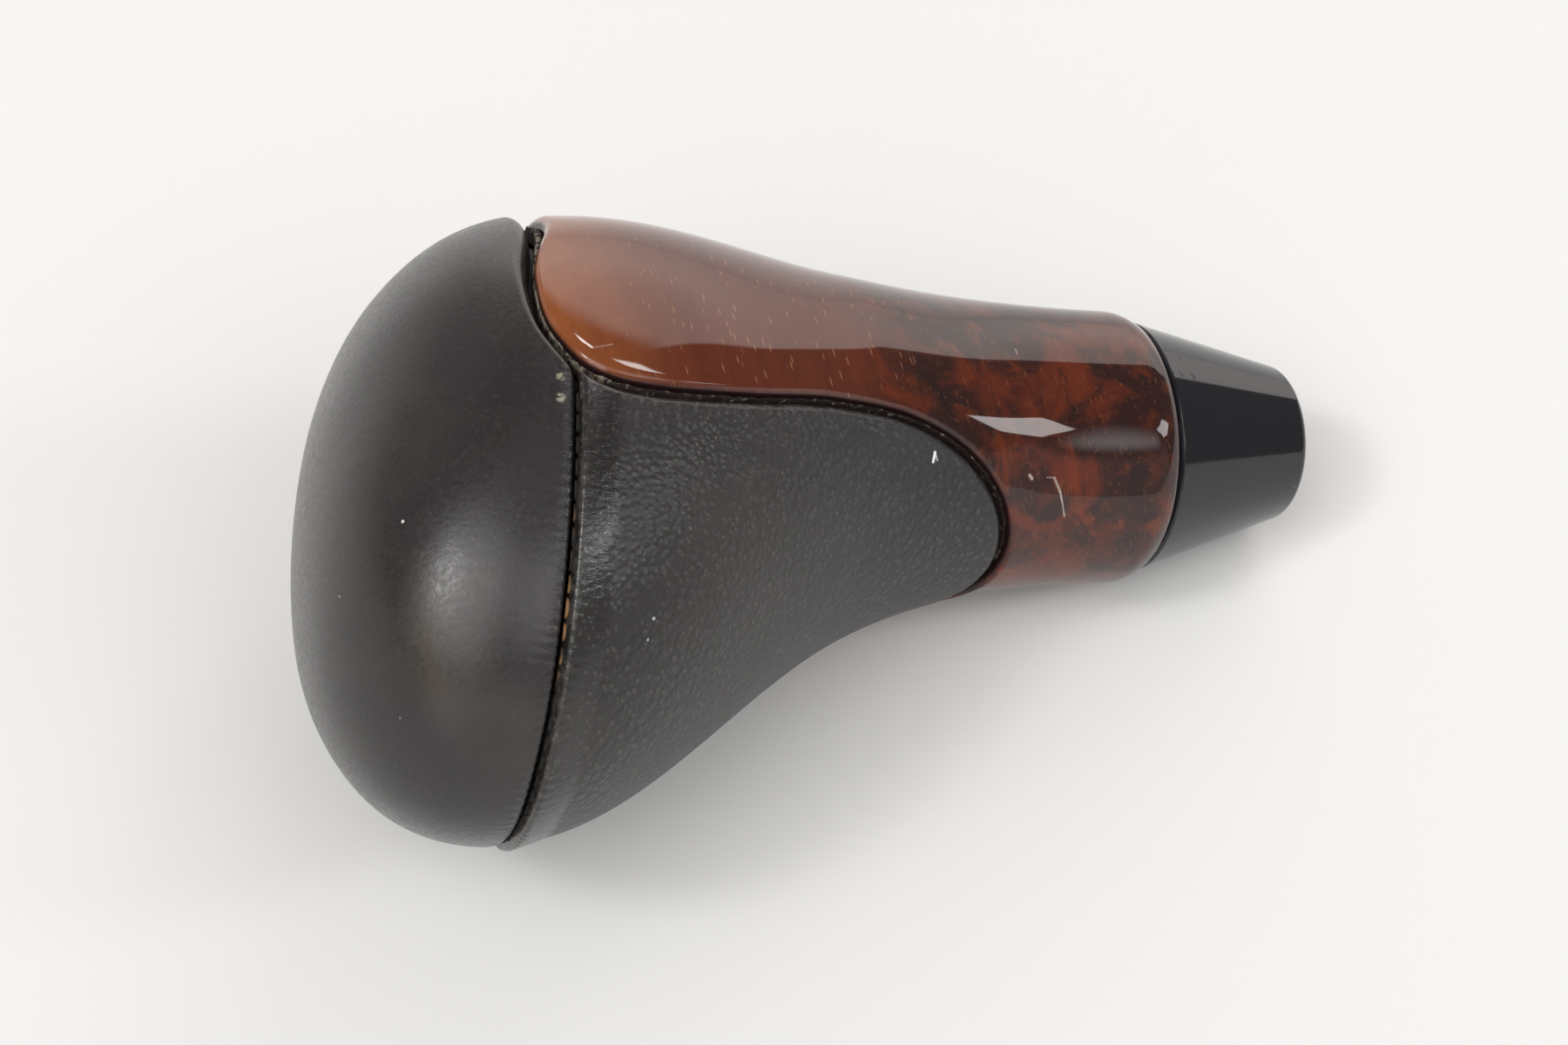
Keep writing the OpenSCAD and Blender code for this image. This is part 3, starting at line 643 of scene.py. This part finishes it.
def ring_grid(boundary, centre, far_count):
    """Rings at set distances from the edge, then evenly nearly to the centre, as angles and heights."""
    t = np.linspace(0, 1, 60)[:, None, None]
    fine = boundary[None] + (np.array(centre) - boundary[None]) * t
    way = np.linalg.norm(np.diff(skin(fine[..., 0], fine[..., 1]), axis=0), axis=2)
    way = np.concatenate([np.zeros((1, way.shape[1])), np.cumsum(way, axis=0)])
    shares = []
    for distance in NEAR_STEPS:
        shares.append([np.interp(distance, way[:, j], t[:, 0, 0]) for j in range(way.shape[1])])
    shares = np.array(shares)
    onward = np.linspace(0, 1, far_count + 1)[1:, None]
    shares = np.concatenate([shares, shares[-1] + (LAST_RING - shares[-1]) * onward])
    return boundary[None] + (np.array(centre) - boundary[None]) * shares[..., None]


def closed_cover(name, outer, inner, outer_pole, inner_pole, finish, values):
    """Outer rings down to a pole, inner rings down to another, joined along the edge."""
    columns = outer.shape[1]
    rows = np.concatenate([outer[::-1], inner])
    faces = loop_faces(len(rows), columns, False)
    total = len(rows) * columns
    ring = np.arange(columns)
    after = (ring + 1) % columns
    foot = (len(rows) - 1) * columns
    faces += np.stack([np.full(columns, total), ring, after], axis=1).tolist()
    faces += np.stack([np.full(columns, total + 1), foot + after, foot + ring], axis=1).tolist()
    points = np.concatenate([rows.reshape(-1, 3), [outer_pole, inner_pole]])
    stored = {}
    for key, value in values.items():
        inside = np.broadcast_to(value[0], (len(inner), columns))
        stored[key] = np.concatenate([value[::-1].ravel(), inside.ravel(), [value[-1].mean()] * 2])
    return make_piece(name, points, faces, finish, stored)


seam_angles = np.linspace(0, 360, 1441)
seam_line = skin(seam_angles, seam_height(seam_angles))


def pucker(gap, along, seed):
    """Leather drawn in at each stitch and standing proud between them."""
    on_line = np.stack([along, along * 0, along * 0], axis=-1)
    wave = np.cos(2 * np.pi * along / PUCKER_PITCH + 2.2 * ripple(on_line, 6.0, seed))
    size = 0.75 + 0.45 * ripple(on_line, 4.0, seed + 40)
    return 0.085 * size * wave * np.exp(-gap / 0.75)


def seam_band(points, gap):
    """The turned-in edges make the leather stand proud at the seam and slope down to a soft step."""
    edge = 3.8 + 0.3 * ripple(points, 3.0, 5)
    slope = np.clip((edge - gap) / (edge - 0.5), 0, 1)
    return 0.5 * soft_step(gap, -0.35, 0.6) * np.minimum(slope, 1)


def make_cap():
    columns = 720
    angle = np.arange(columns) * 360 / columns
    folded = np.where(angle > 180, 360 - angle, angle)
    edge = beside(half_edge, GROOVE_W + 0.2 * front_share(half_edge[:, 0], 50, 85))
    order = np.argsort(edge[:, 0])
    wood_side = np.interp(folded, edge[order, 0], edge[order, 1])
    seam_side = seam_height(angle) + SEAM_GAP / 2
    low = np.maximum(wood_side, seam_side) + 0.25 * np.exp(-np.abs(wood_side - seam_side) / 0.6)
    boundary = np.stack([angle, low], axis=1)
    t = np.concatenate([np.linspace(0, 0.19, 27), np.linspace(0.19, LAST_RING, 52)[1:]])[:, None]
    z = boundary[:, 1] + (TOTAL - boundary[:, 1]) * np.sin(np.pi / 2 * t)
    grid = skin(np.broadcast_to(angle, z.shape), z)
    normals = grid_normals(grid)
    distance = np.concatenate([np.zeros((1, columns)),
                               np.cumsum(np.linalg.norm(np.diff(grid, axis=0), axis=2), axis=0)])
    gap, along = nearest(grid, seam_line)
    gap = np.maximum(gap - SEAM_GAP / 2, 0)
    at_front = front_share(angle, 55, 88)
    depth = rolled(distance, 0.55 + 0.85 * at_front, 1.3 + 0.9 * at_front)
    lift = np.where(gap < 7, 1.3 * pucker(gap, along, 3) - 0.24 * np.clip(1 - gap / 1.5, 0, 1) ** 1.2, 0)
    lift *= soft_step(folded, 94, 99)
    lift += 0.05 * ripple(grid, 7.0, 8) + 0.22 * at_front * np.exp(-distance / 6.0)
    outer = grid + normals * (lift - depth)[..., None]
    picked = [0, 6, 14, 26, 38, 52, 66, len(grid) - 1]
    inner = grid[picked] - normals[picked] * (depth[picked] + LEATHER_T)[..., None]
    top = np.array([-CROWN_BACK, 0, TOTAL])
    return closed_cover("cap_leather_cover", outer, inner, top + [0, 0, lift[-1].mean()], top - [0, 0, LEATHER_T],
                        leather_cap, {"from_seam": gap, "along_seam": along, "from_edge": distance})


cap = make_cap()
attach(cap, "root")
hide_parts("cap_leather")


def make_back():
    leather_edge = beside(half_edge, np.full(len(half_edge), GROOVE_W))
    seam_low = seam_height(leather_edge[:, 0]) - SEAM_GAP / 2
    inside = (leather_edge[:, 0] > 80) & (leather_edge[:, 1] < seam_low)
    half = even(leather_edge[np.argmax(inside):], 340)
    corner = half[0, 0]
    top_angles = np.linspace(360 - corner, corner, 322)[1:-1]
    top = np.stack([top_angles, seam_height(top_angles) - SEAM_GAP / 2], axis=1)
    mirrored = half[-2::-1] * [-1, 1] + [360, 0]
    boundary = np.concatenate([half, mirrored, top])
    rings = ring_grid(boundary, (180, BACK_POLE_H), 34)
    grid = skin(rings[..., 0], rings[..., 1])
    normals = grid_normals(grid)
    wood_line = skin(*np.concatenate([half, mirrored]).T)
    from_wood, _ = nearest(grid, wood_line)
    gap, _ = nearest(grid, skin(top[:, 0], top[:, 1]))
    _, along = nearest(grid, seam_line)
    depth = np.maximum(rolled(from_wood, 1.15, 1.9), rolled(gap, 0.32, 1.1))
    lift = pucker(gap, along, 4) + seam_band(grid, gap)
    lift += 0.05 * ripple(grid, 6.0, 9)
    outer = grid + normals * (lift - depth)[..., None]
    picked = [0, 7, 14, 22, 32, 44, len(grid) - 1]
    inner = grid[picked] - normals[picked] * (depth[picked] + LEATHER_T)[..., None]
    middle = skin(180.0, BACK_POLE_H)
    pole_normal = normals[-1].mean(axis=0)
    return closed_cover("back_leather_cover", outer, inner, middle + pole_normal * lift[-1].mean(),
                        middle - pole_normal * LEATHER_T, leather_back,
                        {"from_seam": gap, "along_seam": along, "from_edge": np.minimum(gap, from_wood)})


back = make_back()
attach(back, "root")
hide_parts("back_leather")


# Glue and dust left at the foot of the wood's wall
def make_glue():
    half = 500
    columns = 2 * half - 2
    section = [(-0.3, 1.35), (-0.2, 1.15), (0.0, 1.08), (0.16, 1.15), (0.28, 1.35), (0.38, 1.65), (0.48, 2.0),
               (0.75, 2.3), (0.75, 2.6), (-0.1, 2.6)]
    on_ridge = [0.1, 0.6, 1.0, 1.0, 1.0, 0.8, 0.3, 0.0, 0.0, 0.0]
    rows = []
    for k, (width, depth) in enumerate(section):
        line = edge_line(width, half)
        rough = ripple(skin(line[:, 0], line[:, 1]) + [k * 0.6, 0, 0], 0.7, 21) * (0.14 if 0 < k < 7 else 0)
        rows.append(skin(line[:, 0], line[:, 1], depth + rough))
    grid = np.array(rows)
    return make_piece("groove_glue", grid.reshape(-1, 3), loop_faces(len(grid), columns, True), glue,
                      {"on_ridge": np.repeat(on_ridge, columns)})


glue_strip = make_glue()
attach(glue_strip, "root")


# Seam thread: short stitches that lie sunk between the two leathers
def stitch_shape():
    """A thread that arches up and dives at both ends, along X and under a millimetre high."""
    sides, thick = 8, 0.34
    path = [(-0.86, -0.55), (-0.72, -0.2), (-0.45, -0.02), (0.0, 0.05), (0.45, -0.02), (0.72, -0.2), (0.86, -0.55)]
    around = np.arange(sides) * 2 * np.pi / sides
    rings = [[(x, thick / 2 * math.cos(a), z + thick / 2 * math.sin(a)) for a in around] for x, z in path]
    last = (len(path) - 1) * sides
    faces = loop_faces(len(path), sides, False) + [list(range(sides)), list(range(last, last + sides))]
    shape = bpy.data.meshes.new("one_stitch")
    shape.from_pydata((np.array(rings).reshape(-1, 3) * MM).tolist(), [], faces)
    shape.update()
    if signed_volume(shape) < 0:
        shape.flip_normals()
    shape.polygons.foreach_set("use_smooth", [True] * len(shape.polygons))
    return bpy.data.objects.new("one_stitch", shape)


def make_stitches():
    """Copies of one stitch at even steps along the seam, each turned to the seam's direction."""
    angles = np.linspace(*STITCHED_ANGLES, 1200)
    height = seam_height(angles)
    line = skin(angles, height)
    way = run_length(line)
    count = int(way[-1] / STITCH_PITCH)
    at = (np.arange(count) + 0.5) * way[-1] / count
    places = np.stack([np.interp(at, way, line[:, k]) for k in range(3)], axis=1)
    ahead = np.stack([np.interp(at + 0.2, way, line[:, k]) - np.interp(at - 0.2, way, line[:, k]) for k in range(3)],
                     axis=1)
    ahead /= np.linalg.norm(ahead, axis=1)[:, None]
    out = places - [HEAD_MIDDLE_X, 0, 78]
    out -= (out * ahead).sum(axis=1)[:, None] * ahead
    out /= np.linalg.norm(out, axis=1)[:, None]
    turns = [Matrix(np.stack([x, np.cross(z, x), z], axis=1).tolist()).to_euler() for x, z in zip(ahead, out)]
    mesh = bpy.data.meshes.new("seam_thread")
    mesh.from_pydata(to_metres(places - out * THREAD_SUNK).tolist(), [], [])
    layer = mesh.attributes.new("turn", "FLOAT_VECTOR", "POINT")
    layer.data.foreach_set("vector", np.array([tuple(turn) for turn in turns], np.float32).ravel())
    carrier = bpy.data.objects.new("seam_thread", mesh)
    bpy.context.scene.collection.objects.link(carrier)
    shape = stitch_shape()
    tree = bpy.data.node_groups.new("stitches", "GeometryNodeTree")
    tree.interface.new_socket("Geometry", in_out="INPUT", socket_type="NodeSocketGeometry")
    tree.interface.new_socket("Stitch size", in_out="INPUT", socket_type="NodeSocketFloat")
    tree.interface.new_socket("Size spread", in_out="INPUT", socket_type="NodeSocketFloat")
    tree.interface.new_socket("Geometry", in_out="OUTPUT", socket_type="NodeSocketGeometry")
    sockets = {item.name: item.identifier for item in tree.interface.items_tree if item.in_out == "INPUT"}
    nodes_of = tree.nodes
    given, wanted = nodes_of.new("NodeGroupInput"), nodes_of.new("NodeGroupOutput")
    one, place = nodes_of.new("GeometryNodeObjectInfo"), nodes_of.new("GeometryNodeInstanceOnPoints")
    turn, euler = nodes_of.new("GeometryNodeInputNamedAttribute"), nodes_of.new("FunctionNodeEulerToRotation")
    low, high = nodes_of.new("ShaderNodeMath"), nodes_of.new("ShaderNodeMath")
    spread = nodes_of.new("FunctionNodeRandomValue")
    real, paint = nodes_of.new("GeometryNodeRealizeInstances"), nodes_of.new("GeometryNodeSetMaterial")
    one.inputs["Object"].default_value = shape
    turn.data_type = "FLOAT_VECTOR"
    turn.inputs["Name"].default_value = "turn"
    low.operation, high.operation = "SUBTRACT", "ADD"
    spread.data_type = "FLOAT"
    spread.inputs["Seed"].default_value = 7
    paint.inputs["Material"].default_value = thread_finish()
    join = tree.links.new
    for math_node in (low, high):
        join(given.outputs["Stitch size"], math_node.inputs[0])
        join(given.outputs["Size spread"], math_node.inputs[1])
    join(low.outputs[0], [s for s in spread.inputs if s.name == "Min" and s.type == "VALUE"][0])
    join(high.outputs[0], [s for s in spread.inputs if s.name == "Max" and s.type == "VALUE"][0])
    join(given.outputs["Geometry"], place.inputs["Points"])
    join(one.outputs["Geometry"], place.inputs["Instance"])
    join(turn.outputs["Attribute"], euler.inputs[0])
    join(euler.outputs[0], place.inputs["Rotation"])
    join([s for s in spread.outputs if s.type == "VALUE"][0], place.inputs["Scale"])
    join(place.outputs[0], real.inputs[0])
    join(real.outputs[0], paint.inputs["Geometry"])
    join(paint.outputs[0], wanted.inputs[0])
    grown = carrier.modifiers.new("stitches", "NODES")
    grown.node_group = tree
    grown[sockets["Stitch size"]] = 1.0
    grown[sockets["Size spread"]] = 0.08
    baked = bpy.data.meshes.new_from_object(carrier.evaluated_get(bpy.context.evaluated_depsgraph_get()))
    carrier.modifiers.clear()
    carrier.data = baked
    baked.name = "seam_thread"
    bpy.data.objects.remove(shape)
    return carrier


thread = make_stitches()
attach(thread, "root")


# The table it lies on, the room round it and the camera
TABLE_UP = Vector((0.0, -0.973, 0.2315)).normalized()
TABLE_AT = Vector(to_metres((0.0, 13.75, 22.0)))
TABLE_RIGHT = Vector((-0.2652, -0.2231, -0.9374)).normalized()
TABLE_AWAY = TABLE_UP.cross(TABLE_RIGHT)
TABLE_RADIUS, TABLE_SIDES = 1.5, 64
PALE = (0.905, 0.897, 0.88)
CAMERA_AT = (-205.768, -233.720, 177.680)
CAMERA_RIGHT = Vector((-0.26515, -0.25819, -0.92900)).normalized()
CAMERA_BACK = Vector((-0.59960, -0.71038, 0.36857)).normalized()


def make_floor():
    made, g = material("table")
    facing = g.node("ShaderNodeNewGeometry", output="Backfacing")
    paint = g.node("ShaderNodeBsdfDiffuse", {}, {"Color": (0.818, 0.82, 0.816, 1.0)})
    clear = g.node("ShaderNodeBsdfTransparent")
    both = g.node("ShaderNodeMixShader", {}, {0: facing, 1: paint, 2: clear})
    g.node("ShaderNodeOutputMaterial", {}, {"Surface": both})
    ring = [TABLE_AT + (TABLE_RIGHT * math.cos(a) + TABLE_AWAY * math.sin(a)) * TABLE_RADIUS
            for a in np.arange(TABLE_SIDES) * math.tau / TABLE_SIDES]
    mesh = bpy.data.meshes.new("table")
    mesh.from_pydata([tuple(p) for p in ring], [], [list(range(TABLE_SIDES))])
    mesh.update()
    if Vector(mesh.polygons[0].normal).dot(TABLE_UP) < 0:
        mesh.flip_normals()
    mesh.materials.append(made)
    table = bpy.data.objects.new("table", mesh)
    bpy.context.scene.collection.objects.link(table)


def toward(elevation, bearing):
    """Unit direction by degrees above the table and round from the picture's right."""
    e, b = math.radians(elevation), math.radians(bearing)
    flat = TABLE_RIGHT * math.cos(b) + TABLE_AWAY * math.sin(b)
    return flat * math.cos(e) + TABLE_UP * math.sin(e)


# Each light: its corners in degrees above the table and round from the picture's right, how soft its sides are
# in degrees (one for all, or one for each), and its strength
LIGHTS = {
    "left window core": ([(46, -147), (46, -158), (54.5, -161), (54.5, -144)], [9], 27.0),
    "left window": ([(29, -130), (29, -166), (70, -190), (70, -106)], [16], 1.2),
    "near window": ([(31, -104), (31, -136), (68, -158), (68, -82)], [12], 2.45),
    "behind the camera": ([(33, -69), (33, -107), (66, -130), (66, -46)], [9], 0.45),
    "near right": ([(30, -24), (30, -66), (59, -82), (59, -8)], [9], 1.95),
    "overhead": ([(68, 0), (68, 90), (68, 180), (68, -90)], [9], 0.3),
    "low near": ([(-20, -60), (25, -60), (27, -95), (25, -128), (-20, -128)], [8], 0.8),
    "low near right": ([(-20, -15), (24, -15), (24, -58), (-20, -58)], [8], 0.3),
    "far left": ([(14, 112), (45, 112), (55, 135), (45, 165), (14, 165)], [8], 0.24),
    "right high": ([(50, -12), (50, 32), (70, 45), (70, -25)], [8], 0.45),
    "right strip": ([(18, 5.5), (35.5, -2.5), (37.3, -7), (38.2, -15.5), (36.3, -16.3), (29, -15.5), (21, -5)],
                    [0.6], 6.3),
    "far window": ([(52.3, 64), (49.3, 52), (46, 39), (49.2, 43.5), (52.3, 53)], [0.5], 10.0),
    "far window beside": ([(47.8, 87), (50.8, 75), (52, 76), (50.6, 83)], [0.5], 15.0),
}
# A pale wall on the far side, which the lacquer mirrors, then the strength of the room's own light and of a low
# pale band round it up to a height in degrees
BACKDROP = ([(-30, 40), (13, 40), (45, 54), (46.5, 64), (47, 73), (45.5, 82), (41, 89), (25, 112), (-30, 112)],
            [1.2, 1.6, 9, 11, 12, 12, 12, 12, 9], 1.75)
ROOM = 0.155
PALE_BAND = 0.75
PALE_BAND_TOP = 13.5
ROOM_TINT, LIGHT_TINT = (1.06, 0.99, 0.95), (1.0, 0.995, 0.985)


def lit_patch(g, way, corners, softness, power):
    """The strength of one light in the direction that is looked in."""
    ways = [toward(*corner) for corner in corners]
    middle = sum(ways, Vector())
    for k, start in enumerate(ways):
        side = start.cross(ways[(k + 1) % len(ways)]).normalized()
        side *= 1 if side.dot(middle) > 0 else -1
        reach = math.sin(math.radians(softness[k % len(softness)])) / 2
        power = g.step(g.vector("DOT_PRODUCT", way, tuple(side), output="Value"), -reach, reach) * power
    return power


def make_world():
    world = bpy.data.worlds.new("room")
    bpy.context.scene.world = world
    world.use_nodes = True
    g = Graph(world.node_tree)
    way = g.node("ShaderNodeTexCoord", output="Generated")
    above = g.vector("DOT_PRODUCT", way, tuple(TABLE_UP), output="Value")
    leftward = g.vector("DOT_PRODUCT", way, tuple(toward(0, 150)), output="Value")
    top = math.sin(math.radians(PALE_BAND_TOP))
    band = g.step(above, top + 0.03, top - 0.03) * g.step(leftward, -0.34, -0.20)
    wall = lit_patch(g, way, *BACKDROP) * g.step(above, -0.05, 0.28, 0.62, 1.0)
    room = (ROOM + band * (PALE_BAND - ROOM)).most(wall)
    lights = 0.0
    for light in LIGHTS.values():
        lights = lit_patch(g, way, *light) + lights
    strengths = [lights * lit + room * dim for lit, dim in zip(LIGHT_TINT, ROOM_TINT)]
    camera = g.node("ShaderNodeLightPath", output="Is Camera Ray")
    seen = g.blend(camera, g.node("ShaderNodeCombineColor", {}, dict(enumerate(strengths))), PALE)
    back = g.node("ShaderNodeBackground", {}, {"Color": seen, "Strength": 1.0})
    g.node("ShaderNodeOutputWorld", {}, {"Surface": back})


def make_camera():
    data = bpy.data.cameras.new("camera")
    camera = bpy.data.objects.new("camera", data)
    bpy.context.scene.collection.objects.link(camera)
    bpy.context.scene.camera = camera
    data.sensor_fit = "HORIZONTAL"
    data.sensor_width = 36.0
    data.lens = 78.95
    data.clip_start, data.clip_end = 0.01, 20.0
    up = CAMERA_BACK.cross(CAMERA_RIGHT).normalized()
    turn = Matrix((up.cross(CAMERA_BACK), up, CAMERA_BACK)).transposed().to_4x4()
    camera.matrix_world = Matrix.Translation(to_metres(CAMERA_AT)) @ turn


make_floor()
make_world()
make_camera()
bpy.context.scene.view_settings.view_transform = "Standard"
